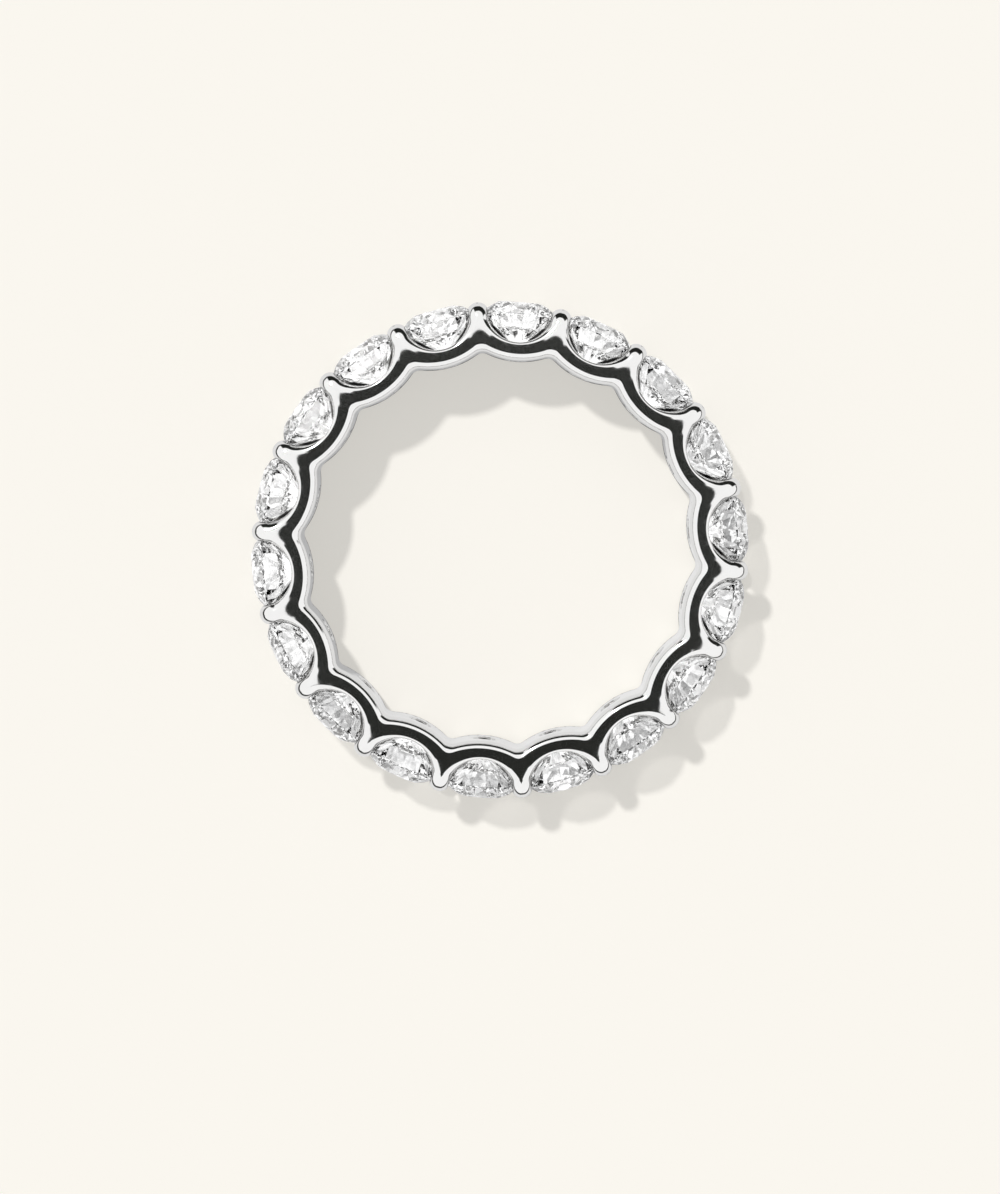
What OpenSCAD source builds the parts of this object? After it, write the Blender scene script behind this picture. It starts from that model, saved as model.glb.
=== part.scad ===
// Eternity ring: a cast scalloped setting with a row of round brilliants all the way round.
// The ring lies on its side. Z runs along the finger, and stone_01 faces +X.

/* [Stones] */
// Number of stones round the ring
stone_count = 18; // [14:1:19]
// Diameter of each round stone at its girdle
stone_d = 3.4; // [3:0.05:4]
// Clear space between the girdles of two neighbours
stone_gap = 0.28; // [0.2:0.02:0.5]
// Width of the flat table, from corner to corner
table_d = 1.95; // [1.7:0.05:2.2]
// Thickness of the girdle at the main facets
girdle_t = 0.1; // [0.08:0.01:0.16]
// Slope of the main crown facets
crown_angle = 34.5; // [32:0.5:36]
// Slope of the main pavilion facets
pavilion_angle = 40.8; // [40:0.2:42]
// Width across the tips of the star facets
star_d = 2.6; // [2.4:0.05:2.8]
// Width across the inner tips of the lower facets
lower_d = 0.78; // [0.5:0.02:1]
// Turn of each stone about its own axis after the one before it
stone_turn = 13; // [0:1:44]

/* [Seats] */
// How far the centre of each U opening lies outside the girdles
seat_lift = 0.2; // [0.1:0.02:0.3]
// Clearance round each stone
seat_clear = 0.05; // [0.04:0.005:0.08]
// Diameter of the round hole under each stone
azure_d = 1; // [0.8:0.05:1.2]
// How far the flat face stands back from each U opening
rim_w = 0.12; // [0.08:0.01:0.2]
// Radius of the flat face's outer edge round each U opening
rim_r = 2.15; // [2:0.05:2.4]
// Depth of the slope from the flat face into each U opening
rim_h = 0.8; // [0.7:0.05:0.9]

/* [Band] */
// How far each side face stands beyond the stones
side_cover = 0.05; // [0.02:0.01:0.15]
// Metal between a U opening and the finger hollow
floor_t = 0.83; // [0.6:0.01:1]
// Radius of each lobe of the inner wall
lobe_r = 3.68; // [3.3:0.02:4.2]
// Radial width of the rounding round the finger hollow
bevel_w = 0.34; // [0.2:0.02:0.4]
// Height of that rounding along the finger
bevel_h = 0.5; // [0.3:0.02:0.7]
// Height of the bridge between two stones above the U openings
bridge_h = 0.65; // [0.4:0.05:0.8]

/* [Prongs] */
// Width of each prong across its neck
prong_w = 0.85; // [0.7:0.05:1]
// Diameter of each prong's round stem
prong_d = 1; // [0.95:0.05:1.1]
// How far each prong's tip stands above the tables
prong_rise = 0.02; // [0:0.01:0.1]
// How far each prong's stem lies behind the side face
prong_inset = 0.02; // [0.01:0.01:0.06]
// Lean of each prong towards the middle of the ring
prong_lean = 3; // [1:0.5:5]

/* [Hidden] */
lobe_sides = 48;
opening_sides = 24;
seat_sides = 16;
azure_sides = 12;
prong_sides = 12;
ring_sides = 3 * stone_count;
stem_share = 0.7;
facet_count = 8;
two_digits = function (n) n < 10 ? str("0", n) : str(n);
stone_names = [for (i = [1:stone_count]) str("stone_", two_digits(i))];
over = 0.5;

// The row of stones
pitch_angle = 360 / stone_count;
half_pitch = pitch_angle / 2;
stone_r = stone_d / 2;
girdle_r = (stone_d + stone_gap) / 2 / sin(half_pitch);
ring_w = stone_d + 2 * side_cover;

// Heights of a stone above and below its girdle
table_r = table_d / 2;
star_r = star_d / 2;
lower_r = lower_d / 2;
crown_h = (stone_r - table_r) * tan(crown_angle);
star_h = (stone_r - star_r * cos(22.5)) * tan(crown_angle);
pavilion_h = stone_r * tan(pavilion_angle);
lower_h = pavilion_h - lower_r * cos(22.5) * tan(pavilion_angle);
table_level = girdle_r + girdle_t / 2 + crown_h;

// A girdle point midway along a facet lies on that facet's plane, just past the chord
chord_sag = stone_r * (1 - cos(11.25)) / cos(11.25);
crown_dip = star_h * chord_sag / (stone_r - star_r);
pavilion_dip = lower_h * chord_sag / (stone_r - lower_r);

// The U openings and the inner lobes
seat_level = girdle_r + seat_lift;
seat_r = seat_level * sin(half_pitch) - prong_w / 2;
seat_floor = seat_level - seat_r;
rim_level = seat_floor - rim_w + rim_r;
inner_r = seat_floor - floor_t;
lobe_level = inner_r + lobe_r;

// The prongs, and the bridge that joins each near prong to its far one
prong_r = prong_d / 2;
prong_tip = table_level + prong_rise;
prong_neck = seat_level * cos(half_pitch);
prong_root = seat_floor + prong_r;
prong_level = ring_w / 2 - prong_inset - prong_r;
bridge_level = seat_floor + bridge_h;
bridge_half = prong_level - stem_share * prong_r;

function around(r, turn, z) = [r * cos(turn), r * sin(turn), z];
function ring_of(r, start, step, z) =
    [for (a = [start:step:start + 359]) around(r, a, z)];

// Points of a stone, in rings from the table down to the culet
table_ring = ring_of(table_r, 0, 45, girdle_t / 2 + crown_h);
star_ring = ring_of(star_r, 22.5, 45, girdle_t / 2 + star_h);
upper_girdle = [for (i = [0:31]) around(stone_r, i * 11.25, girdle_t / 2 - (i % 2) * crown_dip)];
lower_girdle = [for (i = [0:31]) around(stone_r, i * 11.25, (i % 2) * pavilion_dip - girdle_t / 2)];
lower_ring = ring_of(lower_r, 22.5, 45, -girdle_t / 2 - lower_h);
culet = [[0, 0, -girdle_t / 2 - pavilion_h]];
stone_points = concat(table_ring, star_ring, upper_girdle, lower_girdle, lower_ring, culet);

// Where each ring starts in the list of points
at_star = facet_count;
at_upper = at_star + facet_count;
at_lower = at_upper + 4 * facet_count;
at_inner = at_lower + 4 * facet_count;
at_culet = at_inner + facet_count;
last = facet_count - 1;
function table_i(k) = k % facet_count;
function star_i(k) = at_star + (k + facet_count) % facet_count;
function upper_i(k) = at_upper + k % (4 * facet_count);
function lower_i(k) = at_lower + k % (4 * facet_count);
function inner_i(k) = at_inner + (k + facet_count) % facet_count;

// Faces run clockwise seen from outside
table_face = [[for (k = [last:-1:0]) table_i(k)]];
star_faces = [for (k = [0:last]) [table_i(k), table_i(k + 1), star_i(k)]];
kite_faces = [for (k = [0:last]) [table_i(k), star_i(k), upper_i(4 * k), star_i(k - 1)]];
upper_faces = [for (k = [0:last], s = [0, 1])
    [star_i(k), upper_i(4 * k + 2 * s + 2), upper_i(4 * k + 2 * s + 1), upper_i(4 * k + 2 * s)]];
girdle_faces = [for (k = [0:4 * facet_count - 1])
    [upper_i(k), upper_i(k + 1), lower_i(k + 1), lower_i(k)]];
lower_faces = [for (k = [0:last], s = [0, 1])
    [inner_i(k), lower_i(4 * k + 2 * s), lower_i(4 * k + 2 * s + 1), lower_i(4 * k + 2 * s + 2)]];
pavilion_faces = [for (k = [0:last]) [at_culet, inner_i(k - 1), lower_i(4 * k), inner_i(k)]];
stone_faces = concat(table_face, star_faces, kite_faces, upper_faces, girdle_faces, lower_faces,
    pavilion_faces);

// Places something at a stone, with its Z pointing away from the finger
module at_stone(i)
    rotate([0, 0, i * pitch_angle]) translate([girdle_r, 0, ring_w / 2]) rotate([0, 90, 0])
        children();

module stone(i)
    color("white")
        at_stone(i) rotate([0, 0, i * stone_turn]) polyhedron(stone_points, stone_faces);

// The space that a stone and its clearance take
module seat_cut()
    rotate_extrude($fn = seat_sides)
        polygon([
            [0, -girdle_t / 2 - pavilion_h - seat_clear * tan(pavilion_angle)],
            [stone_r + seat_clear, -girdle_t / 2],
            [stone_r + seat_clear, girdle_t / 2],
            [table_r + seat_clear, girdle_t / 2 + crown_h],
            [table_r + seat_clear, girdle_t / 2 + crown_h + over],
            [0, girdle_t / 2 + crown_h + over]
        ]);

// The round hole from under a stone through to the finger hollow
module azure()
    translate([0, 0, -girdle_r]) cylinder(d = azure_d, h = girdle_r, $fn = azure_sides);

// The rounded edge of a lobe on the far side, from the flat face up to the wall
edge_turns = [0, 45, 90];
lobe_edge = [for (a = edge_turns) [lobe_r - bevel_w * (1 - sin(a)), bevel_h * (1 - cos(a))]];
near_edge = [for (k = [len(lobe_edge) - 1:-1:0]) [lobe_edge[k][0], ring_w - lobe_edge[k][1]]];

// One lobe of the inner wall: a disc with a rounding round both edges
module lobe()
    translate([lobe_level, 0, 0]) rotate_extrude($fn = lobe_sides)
        polygon(concat([[0, 0]], lobe_edge, near_edge, [[0, ring_w]]));

module scalloped_band()
    intersection() {
        for (i = [0:stone_count - 1]) rotate([0, 0, i * pitch_angle]) lobe();
        cylinder(r = prong_neck, h = ring_w, $fn = ring_sides);
    }

// The channel between the near prongs and the far ones
module channel()
    translate([0, 0, ring_w / 2 - bridge_half]) difference() {
        cylinder(r = prong_neck + over, h = 2 * bridge_half, $fn = ring_sides);
        cylinder(r = bridge_level, h = 2 * bridge_half, $fn = ring_sides);
    }

// The slopes from both flat faces into one U opening
module opening_rims()
    for (side = [0, 1])
        translate([rim_level, 0, side * ring_w]) mirror([0, 0, side])
            cylinder(r1 = rim_r, r2 = seat_r, h = rim_h, $fn = opening_sides);

// One U opening, right through from side to side
module seat_opening()
    translate([seat_level, 0, -over])
        cylinder(r = seat_r, h = ring_w + 2 * over, $fn = opening_sides);

// One round prong on the far side, which leans towards the middle of the ring
module prong()
    rotate([0, 0, half_pitch]) translate([prong_root, 0, ring_w / 2 - prong_level])
        rotate([0, 90 - prong_lean, 0]) hull() {
            sphere(prong_r, $fn = prong_sides);
            translate([0, 0, prong_tip - prong_root - prong_r]) sphere(prong_r, $fn = prong_sides);
        }

module band_with_slopes()
    difference() {
        scalloped_band();
        channel();
        for (i = [0:stone_count - 1]) rotate([0, 0, i * pitch_angle]) opening_rims();
    }

module prongs()
    for (i = [0:stone_count - 1]) rotate([0, 0, i * pitch_angle]) {
        prong();
        translate([0, 0, ring_w]) mirror([0, 0, 1]) prong();
    }

module setting()
    color("lightgray") difference() {
        union() {
            band_with_slopes();
            prongs();
        }
        for (i = [0:stone_count - 1]) {
            rotate([0, 0, i * pitch_angle]) seat_opening();
            at_stone(i) seat_cut();
            at_stone(i) azure();
        }
    }

setting();
for (i = [0:stone_count - 1])
    stone(i);
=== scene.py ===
"""Looks of the eternity ring: a cast and polished white gold setting, and a row of round brilliants."""
import math

import bpy
import numpy as np
from mathutils import Matrix, Vector


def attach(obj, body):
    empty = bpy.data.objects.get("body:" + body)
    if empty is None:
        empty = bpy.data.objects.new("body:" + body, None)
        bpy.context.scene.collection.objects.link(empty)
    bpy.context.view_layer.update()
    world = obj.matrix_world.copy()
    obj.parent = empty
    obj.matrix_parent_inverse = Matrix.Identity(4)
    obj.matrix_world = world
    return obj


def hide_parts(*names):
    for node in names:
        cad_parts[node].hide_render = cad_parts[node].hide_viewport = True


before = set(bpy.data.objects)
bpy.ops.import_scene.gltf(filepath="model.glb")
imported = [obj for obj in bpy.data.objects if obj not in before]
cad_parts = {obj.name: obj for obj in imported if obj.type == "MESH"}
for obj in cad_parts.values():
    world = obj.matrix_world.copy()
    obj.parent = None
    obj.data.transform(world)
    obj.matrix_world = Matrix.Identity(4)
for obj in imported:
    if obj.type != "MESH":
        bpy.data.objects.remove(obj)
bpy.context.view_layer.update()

MM = 0.001

# Sizes of the real ring in mm, the same as the solids have. A level is a distance from the finger's axis,
# and w is a distance from mid-width along the finger.
STONES = 18
PITCH = 2 * math.pi / STONES
HALF_PITCH = PITCH / 2
HALF_WIDTH = 1.75
GIRDLE_LEVEL = 10.596
STONE_R = 1.7
GIRDLE_HALF = 0.05
SEAT_GAP = 0.05
CROWN_SLOPE = math.radians(34.5)
PAVILION_SLOPE = math.radians(40.8)
AZURE_R = 0.5

LOBE_LEVEL = 12.196
LOBE_R = 3.68
BEVEL_W = 0.34
BEVEL_H = 0.5

OPENING_LEVEL = 10.796
OPENING_R = 1.45
RIM_LEVEL = 11.376
RIM_R = 2.15
NECK_LEVEL = 10.632
BRIDGE_LEVEL = 9.996
BRIDGE_HALF = 0.88

STEM_R = 0.5
STEM_LEAN = math.radians(3)
TIP_LEVEL = 11.149

# The bend of each prong over the stones, and the arch at each prong where the side face starts to fall
BEND_R = 0.25
BEND_END = math.radians(80)
BEND_LEVEL = TIP_LEVEL - STEM_R - BEND_R * math.sin(BEND_END)
BEND_W = 0.96
BEND_REACH = 0.7
STEM_LENGTH = 0.5
ARCH_LEVEL = 9.95
ARCH_CURVE = 1.9
ARCH_HALF = 0.4

# Widths in mm over which two surfaces of the polished casting blend
LOBE_BLEND = 0.3
ARCH_BLEND = 0.15
BRIDGE_BLEND = 0.1
CHANNEL_BLEND = 0.08
OPENING_BLEND = 0.06
EDGE_BLEND = 0.05
SEAT_BLEND = 0.03

# The setting's mesh: one seventy-second of the ring is worked out on a lattice and then copied round.
# It gets coarser nearer to mid-width than HIDDEN_W, and a point past FACE_W counts as on a side face.
CELL_STEP = 0.03
CELL_START = 8.3
CELL_DEPTH = 3.1
CELL_HEIGHT = 1.83
CELL_TRIANGLES = 2450
HIDDEN_W = 1.4
FACE_W = 1.6
PRONG_FACE_W = 1.7


# The metal's surface, as a function that is negative inside the metal


def soft_min(a, b, k):
    return np.minimum(a, b) - np.maximum(k - np.abs(a - b), 0) ** 2 / (4 * k)


def soft_max(a, b, k):
    return -soft_min(-a, -b, k)


def lobes(at_stone, at_next):
    """The wall of the finger hollow: a round lobe under each stone."""
    return soft_min(*(np.hypot(x - LOBE_LEVEL, y) - LOBE_R for x, y in (at_stone, at_next)), LOBE_BLEND)


def inner_wall(lobe, w):
    """The lobes, with a rounding up to each side face."""
    over_height = np.maximum(w - HALF_WIDTH + BEVEL_H, 0) * BEVEL_W / BEVEL_H
    return np.hypot(np.maximum(lobe + BEVEL_W, 0), over_height) - BEVEL_W


def past_arch(at_prong):
    """How far a point lies past the arch at a prong, where the side face starts to fall."""
    return at_prong[0] + ARCH_CURVE * np.clip(at_prong[1], -ARCH_HALF, ARCH_HALF) ** 2 - ARCH_LEVEL


def face_level(at_prong):
    """Height of a side face, which leans and then bends over with the prongs towards their tips."""
    out = past_arch(at_prong)
    lean = math.tan(STEM_LEAN) * soft_max(out, np.zeros_like(out), ARCH_BLEND)
    radius = BEND_R + STEM_R
    bend = np.clip(at_prong[0] - BEND_LEVEL, 0, BEND_REACH)
    return HALF_WIDTH - lean - radius + np.sqrt(radius ** 2 - bend ** 2)


def rim(place):
    """How far a point lies within the rim circle of a U opening."""
    return RIM_R - np.hypot(place[0] - RIM_LEVEL, place[1])


def opening(place):
    """How far a point lies within a U opening."""
    return OPENING_R - np.hypot(place[0] - OPENING_LEVEL, place[1])


def side_face(place, level, w):
    """A side face, which rolls over into a U opening between the rim circle and the opening."""
    into_rim = np.maximum(rim(place), 0)
    roll = into_rim - opening(place)
    return np.hypot(into_rim, np.maximum(w - level + roll, 0)) - roll


def stem(at_prong, w):
    """A prong: a round wire that leans a little towards mid-width and bends over into a round tip."""
    (x, y), out, up = at_prong, math.sin(STEM_LEAN), math.cos(STEM_LEAN)
    turn = np.clip(np.arctan2(x - BEND_LEVEL, w - BEND_W), STEM_LEAN, BEND_END)
    back = (w - BEND_W - BEND_R * up) * out - (x - BEND_LEVEL - BEND_R * out) * up
    back = np.clip(back, 0, STEM_LENGTH)
    axis_x = BEND_LEVEL + BEND_R * np.sin(turn) - back * up
    axis_w = BEND_W + BEND_R * np.cos(turn) + back * out
    return np.sqrt((x - axis_x) ** 2 + y ** 2 + (w - axis_w) ** 2) - STEM_R


def seat(at_stone, w):
    """The space round a stone."""
    x, y = at_stone
    height = x - GIRDLE_LEVEL
    out = np.hypot(y, w) - STONE_R - SEAT_GAP
    crown = out * math.sin(CROWN_SLOPE) + (height - GIRDLE_HALF) * math.cos(CROWN_SLOPE)
    pavilion = out * math.sin(PAVILION_SLOPE) - (height + GIRDLE_HALF) * math.cos(PAVILION_SLOPE)
    return np.maximum(np.maximum(crown, pavilion), out)


def seen_from_ring(points):
    """A point's place (out, across) at its stone, at the next stone and at the prong between, and its w."""
    radius = np.hypot(points[:, 0], points[:, 1])
    turn = np.abs(np.arctan2(points[:, 1], points[:, 0]))
    turn = HALF_PITCH - np.abs(HALF_PITCH - turn)
    places = [(radius * np.cos(a), radius * np.sin(a)) for a in (turn, PITCH - turn, HALF_PITCH - turn)]
    return (*places, np.abs(points[:, 2]))


def metal(points):
    """The setting's metal. A point is (x, y, w) in mm, and x points at a stone."""
    at_stone, at_next, at_prong, w = seen_from_ring(points)
    level = face_level(at_prong)
    band = np.maximum(side_face(at_stone, level, w), side_face(at_next, level, w))
    band = np.maximum(band, inner_wall(lobes(at_stone, at_next), w))
    band = soft_max(band, at_prong[0] - NECK_LEVEL, EDGE_BLEND)
    channel = soft_min(at_prong[0] - BRIDGE_LEVEL, BRIDGE_HALF - w, BRIDGE_BLEND)
    band = soft_max(band, channel, CHANNEL_BLEND)
    prong = soft_max(stem(at_prong, w), opening(at_stone), OPENING_BLEND)
    prong = soft_max(prong, opening(at_next), OPENING_BLEND)
    cast = np.maximum(soft_min(band, prong, SEAT_BLEND), w - level)
    for x, y in (at_stone, at_next):
        cast = soft_max(cast, -seat((x, y), w), SEAT_BLEND)
        cast = soft_max(cast, np.where(x < OPENING_LEVEL, AZURE_R - np.hypot(y, w), -1), EDGE_BLEND)
    return cast


def slope(points, step=0.002):
    """The gradient of the metal's function."""
    columns = []
    for axis in range(3):
        shift = np.zeros(3)
        shift[axis] = step
        columns.append((metal(points + shift) - metal(points - shift)) / (2 * step))
    return np.column_stack(columns)


def onto_metal(points, rounds, longest=0.02, least_slope=0.05):
    """Moves points onto the metal's surface, by short steps down its function."""
    for _ in range(rounds):
        down = slope(points)
        size = np.maximum((down ** 2).sum(1), least_slope)
        step = -(metal(points) / size)[:, None] * down
        length = np.linalg.norm(step, axis=1, keepdims=True)
        points = points + step * np.minimum(1, longest / np.maximum(length, 1e-9))
    return points


def on_planes(points, planes):
    """Puts points exactly on the mirror planes that they belong to: a stone's, a prong's and mid-width."""
    radius = np.hypot(points[:, 0], points[:, 1])
    turn = np.arctan2(points[:, 1], points[:, 0])
    turn = np.where(planes[:, 0], 0, np.where(planes[:, 1], HALF_PITCH, turn))
    w = np.where(planes[:, 2], 0, points[:, 2])
    return np.column_stack([radius * np.cos(turn), radius * np.sin(turn), w])


def cell_surface():
    """The metal's surface between a stone's plane, a prong's plane and mid-width, as fine quads."""
    sides = (CELL_DEPTH, GIRDLE_LEVEL * HALF_PITCH, CELL_HEIGHT)
    counts = [round(side / CELL_STEP) for side in sides]
    radii = CELL_START + CELL_DEPTH * np.arange(counts[0] + 1) / counts[0]
    turns = (np.arange(counts[1] + 2) - 0.5) * HALF_PITCH / counts[1]
    heights = (np.arange(counts[2] + 2) - 0.5) * CELL_HEIGHT / counts[2]
    radius, turn, height = np.meshgrid(radii, turns, heights, indexing="ij")
    nodes = np.stack([radius * np.cos(turn), radius * np.sin(turn), height], axis=-1)
    value = metal(nodes.reshape(-1, 3)).reshape(radius.shape)
    inside = value < 0

    # One point for each lattice cell that the surface crosses, at the mean of its edges' crossings
    cells = [n - 1 for n in value.shape]
    total, crossings = np.zeros(cells + [3]), np.zeros(cells)
    for axis in range(3):
        low = [slice(None)] * 3
        high = [slice(None)] * 3
        low[axis], high[axis] = slice(None, -1), slice(1, None)
        low, high = tuple(low), tuple(high)
        crossed = inside[low] != inside[high]
        share = np.where(crossed, value[low] / np.where(crossed, value[low] - value[high], 1), 0)
        place = (nodes[low] + share[..., None] * (nodes[high] - nodes[low])) * crossed[..., None]
        others = [a for a in range(3) if a != axis]
        for first in (0, 1):
            for second in (0, 1):
                part = [slice(None)] * 3
                for a, side in zip(others, (first, second)):
                    part[a] = slice(side, cells[a] + side)
                total += place[tuple(part)]
                crossings += crossed[tuple(part)]
    used = crossings > 0
    number = np.full(cells, -1)
    number[used] = np.arange(used.sum())
    points = total[used] / crossings[used][:, None]
    layer = np.argwhere(used)
    planes = np.column_stack([layer[:, 1] == 0, layer[:, 1] == cells[1] - 1, layer[:, 2] == 0])

    # One quad for each lattice edge that the surface crosses, between the four cells round that edge
    quads = []
    for axis in range(3):
        a, b = [n for n in range(3) if n != axis]
        span = [slice(None)] * 3
        span[axis] = slice(None, -1)
        for n in (a, b):
            span[n] = slice(1, -1)
        ahead = list(span)
        ahead[axis] = slice(1, None)
        start, end = inside[tuple(span)], inside[tuple(ahead)]
        corners = []
        for first, second in ((0, 0), (1, 0), (1, 1), (0, 1)):
            part = [slice(None)] * 3
            part[a] = slice(first, cells[a] - 1 + first)
            part[b] = slice(second, cells[b] - 1 + second)
            corners.append(number[tuple(part)])
        ring = np.stack(corners, axis=-1)
        if axis == 1:
            ring = ring[..., ::-1]
        quads += [ring[start & ~end], ring[~start & end][:, ::-1]]
    quads = np.concatenate(quads)
    points = on_planes(onto_metal(on_planes(points, planes), 6), planes)
    return points, quads


def thinned(points, quads, least_hidden=0.04):
    """The same surface with fewer triangles: fine near the side faces, and coarser deeper in the ring."""
    mesh = bpy.data.meshes.new("cell")
    mesh.from_pydata(points.tolist(), [], quads.tolist())
    cell = bpy.data.objects.new("cell", mesh)
    bpy.context.scene.collection.objects.link(cell)
    hidden = cell.vertex_groups.new(name="hidden")
    for i, share in enumerate(np.clip(HIDDEN_W - points[:, 2], least_hidden, 1)):
        hidden.add([i], float(share), "REPLACE")
    modifier = cell.modifiers.new("thin", "DECIMATE")
    modifier.ratio = CELL_TRIANGLES / (2 * len(quads))
    modifier.use_collapse_triangulate = True
    modifier.vertex_group = "hidden"
    modifier.vertex_group_factor = 6
    result = cell.evaluated_get(bpy.context.evaluated_depsgraph_get()).to_mesh()
    points = np.array([v.co for v in result.vertices], float)
    triangles = np.array([tuple(p.vertices) for p in result.polygons])
    cell.to_mesh_clear()
    bpy.data.objects.remove(cell)
    bpy.data.meshes.remove(mesh)
    return points, triangles


def edges_of(triangles):
    """Each edge once, how many triangles use it, and the three edges of each triangle."""
    pairs = np.sort(np.stack([triangles, np.roll(triangles, -1, axis=1)], axis=-1), axis=-1)
    edges, which, uses = np.unique(pairs.reshape(-1, 2), axis=0, return_inverse=True, return_counts=True)
    return edges, uses, which.reshape(-1, 3)


def cut_along(points, triangles, planes, line, pull_share=0.3, step=1e-4):
    """Splits the face's triangles along a line where its shading turns, so that points draw the line."""
    value, face = line(points)
    edges, _, sides = edges_of(triangles)
    reach = np.linalg.norm(points[edges[:, 0]] - points[edges[:, 1]], axis=1)
    near = np.full(len(points), np.inf)
    np.minimum.at(near, edges[:, 0], reach)
    np.minimum.at(near, edges[:, 1], reach)

    # A point close to the line moves onto it
    pull = face & ~planes.any(axis=1) & (np.abs(value) < pull_share * near)
    across = [(line(points + offset)[0] - value) / step for offset in step * np.eye(3)[:2]]
    across = np.column_stack(across)
    across /= np.maximum((across ** 2).sum(axis=1, keepdims=True), 1e-6)
    points = points.copy()
    points[pull, :2] -= (value[:, None] * across)[pull]
    value = np.where(pull, 0, value)

    # An edge that still crosses the line gets a fresh point there
    a, b = edges.T
    split = (value[a] * value[b] < 0) & face[a] & face[b]
    share = (value[a] / np.where(split, value[a] - value[b], 1))[split][:, None]
    fresh = np.full(len(edges), -1)
    fresh[split] = len(points) + np.arange(split.sum())
    planes = np.concatenate([planes, (planes[a] & planes[b])[split]])
    points = np.concatenate([points, points[a[split]] + share * (points[b[split]] - points[a[split]])])
    made = fresh[sides]
    count = (made >= 0).sum(axis=1)
    parts = [triangles[count == 0]]
    for turn in range(3):
        (a, b, c), (ab, bc, ca) = (np.roll(rows, -turn, axis=1).T for rows in (triangles, made))
        one = (count == 1) & (ab >= 0)
        two = (count == 2) & (bc < 0)
        parts += [np.column_stack(corners)[one] for corners in ((a, ab, c), (ab, b, c))]
        parts += [np.column_stack(corners)[two] for corners in ((a, ab, ca), (ab, b, ca), (b, c, ca))]
    return points, np.concatenate(parts), planes


def rim_line(points):
    """Where a side face starts to roll into a U opening."""
    at_stone, _, _, w = seen_from_ring(points)
    return rim(at_stone), w > FACE_W


def bevel_line(points):
    """Where a side face starts to round down to the finger hollow."""
    at_stone, at_next, _, w = seen_from_ring(points)
    return lobes(at_stone, at_next) + BEVEL_W, w > FACE_W


def arch_line(points):
    """Where a side face starts to fall towards a prong's tip."""
    at_stone, _, at_prong, w = seen_from_ring(points)
    return past_arch(at_prong), (w > PRONG_FACE_W) & (rim(at_stone) < 0.1)


def rim_planes(points, triangles, reach=0.012):
    """Which mirror planes the points of the cell's open rim lie on."""
    edges, uses, _ = edges_of(triangles)
    on_rim = np.zeros(len(points), bool)
    on_rim[edges[uses == 1].ravel()] = True
    radius = np.hypot(points[:, 0], points[:, 1])
    turn = np.arctan2(points[:, 1], points[:, 0])
    away = [np.abs(turn) * radius, np.abs(turn - HALF_PITCH) * radius, np.abs(points[:, 2])]
    return (np.column_stack(away) < reach) & on_rim[:, None]


def ring_from_cell(points, triangles, planes, normals):
    """Copies the cell across each of its planes and round the ring, and joins the copies at their rims."""
    count = len(points)
    places, faces, lean = [], [], []
    label = np.zeros(0, int)
    for k in range(STONES):
        cosine, sine = math.cos(k * PITCH), math.sin(k * PITCH)
        spin = np.array([[cosine, sine], [-sine, cosine]])
        for side in (1, -1):
            for up in (1, -1):
                flip = np.array([1, side, up])
                moved, turned = points * flip, normals * flip
                moved[:, :2], turned[:, :2] = moved[:, :2] @ spin, turned[:, :2] @ spin
                places.append(moved)
                lean.append(turned)

                # Copies of a point on a plane get one label, and so become one point
                key_stone = np.where(planes[:, 1] & (side == -1), (k - 1) % STONES, k)
                key_side = np.where(planes[:, 0] | planes[:, 1], 1, side)
                key_up = np.where(planes[:, 2], 1, up)
                key = ((key_stone * 2 + (key_side > 0)) * 2 + (key_up > 0)) * count + np.arange(count)
                label = np.concatenate([label, key])
                at = len(faces) * count
                faces.append((triangles if side * up > 0 else triangles[:, ::-1]) + at)
    _, first, same = np.unique(label, return_index=True, return_inverse=True)
    return np.concatenate(places)[first], same[np.concatenate(faces)], np.concatenate(lean)[first]


def make_setting():
    """The polished setting: the faceted solid's form, with its curves and soft edges."""
    points, triangles = thinned(*cell_surface())
    planes = rim_planes(points, triangles)
    points = on_planes(onto_metal(on_planes(points, planes), 3), planes)
    for line in (rim_line, bevel_line, arch_line):
        points, triangles, planes = cut_along(points, triangles, planes, line)
        points = on_planes(onto_metal(points, 2), planes)
    normals = slope(points, 0.001)
    normals /= np.linalg.norm(normals, axis=1, keepdims=True)
    places, faces, lean = ring_from_cell(points, triangles, planes, normals)
    places[:, 2] += HALF_WIDTH
    mesh = bpy.data.meshes.new("polished_setting")
    mesh.from_pydata((places * MM).tolist(), [], faces.tolist())
    mesh.polygons.foreach_set("use_smooth", [True] * len(mesh.polygons))
    mesh.normals_split_custom_set_from_vertices(lean.tolist())
    setting = bpy.data.objects.new("polished_setting", mesh)
    bpy.context.scene.collection.objects.link(setting)
    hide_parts("setting")
    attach(setting, "root")
    return setting


# Materials

POLISH = (0.86, 0.855, 0.845, 1)
BRIGHT_POLISH = (0.92, 0.918, 0.912, 1)
PAINTED_GAP_SHADE = (0.08, 0.08, 0.078, 1)
POLISH_ROUGHNESS = 0.05
RING_DIMMING = 0.45
DIAMOND_IOR = 2.417
STONE_SHADOW_LIGHT = 0.52
CREAM_PAPER = (0.5, 0.486, 0.455, 1)
CREAM_GLOW = (0.54, 0.525, 0.491, 1)
SHEET_CENTRE = 4.5
SHEET_R = 24
SHEET_END = 30


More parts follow.
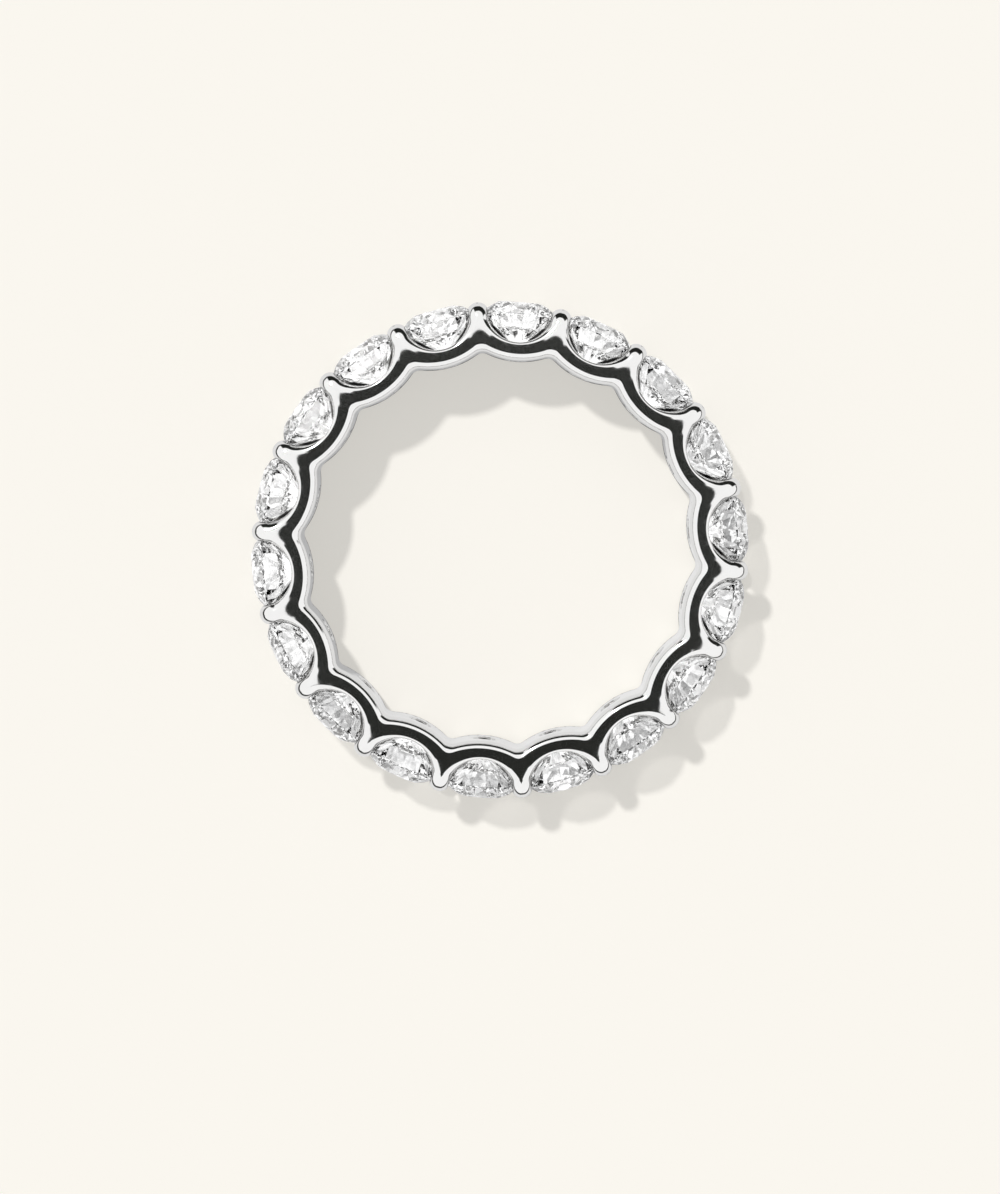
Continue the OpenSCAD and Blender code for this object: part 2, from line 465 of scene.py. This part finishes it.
class Socket:
    """A node's output, on which Python's operators add Math nodes."""

    def __init__(self, nodes, output):
        self.nodes, self.output = nodes, output

    def maths(self, operation, *values):
        return self.nodes.add("ShaderNodeMath", {"operation": operation}, dict(enumerate(values)))

    def __add__(self, other):
        return self.maths("ADD", self, other)

    def __sub__(self, other):
        return self.maths("SUBTRACT", self, other)

    def __mul__(self, other):
        return self.maths("MULTIPLY", self, other)

    def __rsub__(self, other):
        return self.maths("SUBTRACT", other, self)

    __radd__, __rmul__ = __add__, __mul__

    def absolute(self):
        return self.maths("ABSOLUTE", self)

    def root(self):
        return self.maths("SQRT", self)

    def root_inverse(self):
        return self.maths("INVERSE_SQRT", self)

    def least(self, other):
        return self.maths("MINIMUM", self, other)

    def most(self, other):
        return self.maths("MAXIMUM", self, other)

    def rise(self, low, high, fall=False):
        """0 below low and 1 above high, or the other way round, with a smooth step between."""
        ends = {"To Min": 1.0, "To Max": 0.0} if fall else {}
        return self.nodes.add("ShaderNodeMapRange", {"interpolation_type": "SMOOTHSTEP"}, {
            "Value": self, "From Min": low, "From Max": high, **ends}, "Result")


class Nodes:
    """The node tree of a material or a world."""

    def __init__(self, owner):
        owner.use_nodes = True
        self.tree = owner.node_tree
        self.tree.nodes.clear()

    def add(self, kind, settings=None, inputs=None, output=0):
        node = self.tree.nodes.new(kind)
        for name, value in (settings or {}).items():
            setattr(node, name, value)
        for name, value in (inputs or {}).items():
            if isinstance(value, Socket):
                self.tree.links.new(value.output, node.inputs[name])
            else:
                node.inputs[name].default_value = value
        return Socket(self, node.outputs[output]) if node.outputs and output is not None else node

    def parts(self, vector):
        """The X, Y and Z of a vector or a colour."""
        split = self.add("ShaderNodeSeparateXYZ", None, {"Vector": vector}, None)
        return [Socket(self, output) for output in split.outputs]

    def ray(self, output):
        """What is known of the ray that meets the surface."""
        return self.add("ShaderNodeLightPath", output=output)

    def blend(self, factor, a, b):
        """Colour a where the factor is 0, and colour b where it is 1."""
        return self.add("ShaderNodeMix", {"data_type": "RGBA"}, {
            "Factor": factor, "A": a, "B": b}, "Result")

    def noise(self, place, scale, detail):
        return self.add("ShaderNodeTexNoise", None, {
            "Vector": place, "Scale": scale, "Detail": detail}, "Fac")

    def cells(self, place, scale):
        """A value of its own, from 0 to 1, in each cell of an irregular pattern."""
        return self.parts(self.add("ShaderNodeTexVoronoi", None, {
            "Vector": place, "Scale": scale}, "Color"))[0]


def grey(shade):
    return (shade, shade, shade, 1)


def at_nearest_stone(nodes, place):
    """A place as the nearest stone has it, in mm: out along its axis, across it, and w."""
    x, y, z = nodes.parts(place)
    turn = x.maths("ARCTAN2", y, x)
    turn = turn.maths("PINGPONG", turn, HALF_PITCH)
    radius = (x * x + y * y).root() * (1 / MM)
    w = (z * (1 / MM) - HALF_WIDTH).absolute()
    return radius * turn.maths("COSINE", turn), radius * turn.maths("SINE", turn), w


def distance(out, across, level):
    """How far a place is from the line along the finger that crosses the stone's axis at a level."""
    return ((out - level) * (out - level) + across * across).root()


def white_gold():
    """Rhodium-bright white gold: mirror polish, with painted shade on the walls of the U openings, a
    near-black band for the shadowed gap between metal and stone.

    The floor sees it dimmer, so that the inner wall throws no bright patch on the paper."""
    material = bpy.data.materials.new("white_gold")
    nodes = Nodes(material)
    place = nodes.add("ShaderNodeTexCoord", output="Object")
    out, across, w = at_nearest_stone(nodes, place)
    opened = distance(out, across, OPENING_LEVEL)
    # Painted shade: the walls of the U openings, just inside the rim, take a near-black colour in place of
    # the shadowed gap between metal and stone.
    wall = opened.rise(OPENING_R - 0.05, OPENING_R - 0.02)
    wall = wall * opened.rise(OPENING_R + 0.02, OPENING_R + 0.07, fall=True)
    wall = wall * w.rise(1.45, 1.55, fall=True) * w.rise(0.9, 1.1) * out.rise(10.6, 10.9, fall=True)
    cloud = nodes.noise(place, 1400.0, 3.0)
    fine = nodes.noise(place, 9000.0, 2.0)
    tone = nodes.blend(wall, nodes.blend(cloud, POLISH, BRIGHT_POLISH), PAINTED_GAP_SHADE)
    tone = nodes.blend(nodes.ray("Diffuse Depth").least(1) * RING_DIMMING, tone, grey(0))
    bump = nodes.add("ShaderNodeBump", None, {
        "Strength": 0.02, "Distance": 0.00002, "Height": cloud + fine * 0.3})
    gold = nodes.add("ShaderNodeBsdfPrincipled", None, {
        "Base Color": tone, "Metallic": 1.0, "Normal": bump,
        "Roughness": fine * POLISH_ROUGHNESS + POLISH_ROUGHNESS})
    nodes.add("ShaderNodeOutputMaterial", None, {"Surface": gold})
    return material


def diamond():
    """Colourless brilliant: full refraction, with the faintest haze of the polish.

    About half of the light passes straight through in its shadow."""
    material = bpy.data.materials.new("diamond")
    nodes = Nodes(material)
    place = nodes.add("ShaderNodeTexCoord", output="Object")
    haze = nodes.noise(place, 2500.0, 2.0)
    stone = nodes.add("ShaderNodeBsdfPrincipled", None, {
        "Base Color": nodes.blend(haze, grey(0.985), grey(1)), "Roughness": haze * 0.01,
        "IOR": DIAMOND_IOR, "Transmission Weight": 1.0})
    clear = nodes.add("ShaderNodeBsdfTransparent")
    both = nodes.add("ShaderNodeMixShader", None, {
        0: nodes.ray("Is Shadow Ray") * STONE_SHADOW_LIGHT, 1: stone, 2: clear})
    nodes.add("ShaderNodeOutputMaterial", None, {"Surface": both})
    return material


def lit_paper():
    """Cream paper that glows a little.

    The ring mirrors it as a grey sheet of limited size, and through a stone it looks speckled."""
    material = bpy.data.materials.new("lit_paper")
    nodes = Nodes(material)
    place = nodes.add("ShaderNodeNewGeometry", output="Position")
    seen = nodes.ray("Is Camera Ray")
    mirrored = nodes.ray("Is Glossy Ray")
    through = nodes.ray("Transmission Depth").least(1)
    spread = nodes.ray("Diffuse Depth").least(0.6)

    # Painted shade under the ring, with no glow and a near-black paper: for mirrored rays under its whole
    # band, for the camera at the U openings' walls
    out, across, _ = at_nearest_stone(nodes, place)
    lobe = distance(out, across, LOBE_LEVEL) - LOBE_R
    painted_shade_under_ring = lobe.rise(0.01, 0.06, fall=True) * out.rise(10.4, 11.2, fall=True)
    painted_shade_under_ring = painted_shade_under_ring * mirrored * (1 - through)
    painted_shade_at_openings = lobe.rise(-0.6, 0.02, fall=True) * distance(out, across, OPENING_LEVEL).rise(0.9, 1.35)
    painted_shade_at_openings = painted_shade_at_openings * out.rise(10.0, 10.8, fall=True) * seen
    from_centre = nodes.add("ShaderNodeVectorMath", {"operation": "DISTANCE"}, {
        0: place, 1: picture(SHEET_CENTRE, SHEET_CENTRE, -HALF_WIDTH)}, "Value") * (1 / MM)
    beyond = from_centre.rise(SHEET_R, SHEET_END) * mirrored * (1 - through)
    unlit = beyond.most(spread).most(painted_shade_under_ring).most(painted_shade_at_openings)

    # Painted shade: the paper turns near-black and loses its glow where unlit, which is under the ring, at
    # the walls of the U openings, beyond the mirrored sheet, and partly after a diffuse bounce.
    paper = nodes.blend(unlit, nodes.blend(seen, grey(0.5), CREAM_PAPER), grey(0.02))
    glow = nodes.blend(seen, grey(0.54), CREAM_GLOW)
    glow = nodes.blend(mirrored, glow, grey(0.4))
    # Painted sparkle: through a stone, the paper's glow breaks into light and dark cells.
    glow = nodes.blend(through, glow, nodes.blend(nodes.cells(place, 3000.0), grey(0.3), grey(1.35)))
    glow = nodes.blend(unlit, glow, grey(0))
    surface = nodes.add("ShaderNodeBsdfPrincipled", None, {
        "Base Color": paper, "Roughness": 1.0, "Specular IOR Level": 0.0,
        "Emission Color": glow, "Emission Strength": 1.0})
    nodes.add("ShaderNodeOutputMaterial", None, {"Surface": surface})
    return material


# Stage, light and camera. The photograph is taken from above, a little rolled about the finger's line.

ROLL = math.radians(5.3)
KEY_WAY = (-44.8, 63.9, 100)
KEY_STRENGTH = 2.25
KEY_ANGLE = math.radians(4)
DARK_SIDE = math.radians(76)
DARK_TENT = (0.018, 0.019, 0.017, 1)
CREAM_BACKDROP = (0.93, 0.91, 0.86, 1)
LENS = 100.3
CAMERA_AWAY = 150
CAMERA_TILT = math.radians(2.15)
AIM_UP = -2.12


def picture(right, up, above):
    """A place in mm from the ring's middle, by the photograph's right and up and the height over it."""
    return Vector((
        right * math.cos(ROLL) + up * math.sin(ROLL),
        up * math.cos(ROLL) - right * math.sin(ROLL),
        above + HALF_WIDTH)) * MM


def facing(place, target):
    """A matrix at place whose -Z looks at target, with the photograph's up as its own."""
    back = (place - target).normalized()
    up = picture(0, 1, 0) - picture(0, 0, 0)
    right = up.cross(back).normalized()
    return Matrix.Translation(place) @ Matrix((right, back.cross(right), back)).transposed().to_4x4()


def floor():
    mesh = bpy.data.meshes.new("floor")
    half, down = 0.6, -0.00001
    corners = [(x * half, y * half, down) for x, y in ((-1, -1), (1, -1), (1, 1), (-1, 1))]
    mesh.from_pydata(corners, [], [(0, 1, 2, 3)])
    mesh.materials.append(lit_paper())
    paper = bpy.data.objects.new("floor", mesh)
    bpy.context.scene.collection.objects.link(paper)


def key_light():
    """One sun, which shines from the photograph's upper left."""
    light = bpy.data.lights.new("key", "SUN")
    light.energy = KEY_STRENGTH
    light.angle = KEY_ANGLE
    light.color = (1, 0.99, 0.975)
    light.cycles.use_multiple_importance_sampling = False
    holder = bpy.data.objects.new("key", light)
    holder.matrix_world = facing(picture(*KEY_WAY), picture(0, 0, 0))
    bpy.context.scene.collection.objects.link(holder)


def tent():
    """A white tent with what a polished ring shows of it: a dark patch overhead and a dark gap at one side.

    The camera sees it cream, the floor sees it dimmer, and through a stone it has light and dark cells."""
    world = bpy.data.worlds.new("tent")
    bpy.context.scene.world = world
    nodes = Nodes(world)
    way = nodes.add("ShaderNodeTexCoord", output="Generated")
    axes = nodes.add("ShaderNodeVectorRotate", {"rotation_type": "Z_AXIS"}, {
        "Vector": way, "Angle": ROLL})
    right, up, height = nodes.parts(axes)
    overhead = right.absolute().rise(0.10, 0.11, fall=True)
    overhead = overhead * (up + 0.115).absolute().rise(0.172, 0.182, fall=True) * height.rise(0.1, 0.2)
    towards = right * math.cos(DARK_SIDE) + up * math.sin(DARK_SIDE)
    side = (towards * (1 - height * height).root_inverse()).rise(0.6, 0.68)
    gap = height.rise(-0.02, -0.01) * height.rise(0.52, 0.56, fall=True) * side
    through = nodes.ray("Transmission Depth").least(1)
    spread = nodes.ray("Diffuse Depth").least(1)
    shade = nodes.blend(overhead.most(gap) * (1 - through), grey(1), DARK_TENT)
    shown = nodes.blend(nodes.ray("Is Camera Ray"), shade, CREAM_BACKDROP)
    panels = through * (nodes.cells(way, 40.0) * 1.8 - 0.95)
    light = nodes.add("ShaderNodeBackground", None, {
        "Color": shown, "Strength": 1 - spread * 0.72 + panels})
    nodes.add("ShaderNodeOutputWorld", None, {"Surface": light})


def light_settings():
    """Plain colours, and bounces enough for a stone, where each inner reflection is a glossy bounce."""
    scene = bpy.context.scene
    scene.view_settings.view_transform = "Standard"
    scene.cycles.max_bounces = 16
    scene.cycles.glossy_bounces = 12


def camera():
    data = bpy.data.cameras.new("camera")
    data.sensor_width = 36
    data.sensor_fit = "AUTO"
    data.lens = LENS
    data.clip_start, data.clip_end = 0.01, 10
    eye = bpy.data.objects.new("camera", data)
    place = picture(0, CAMERA_AWAY * math.sin(CAMERA_TILT), CAMERA_AWAY * math.cos(CAMERA_TILT))
    eye.matrix_world = facing(place, picture(0, AIM_UP, 0))
    bpy.context.scene.collection.objects.link(eye)
    bpy.context.scene.camera = eye


setting = make_setting()
setting.data.materials.append(white_gold())
brilliant = diamond()
for name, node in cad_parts.items():
    if name.startswith("stone_"):
        node.data.materials.clear()
        node.data.materials.append(brilliant)

floor()
key_light()
tent()
light_settings()
camera()
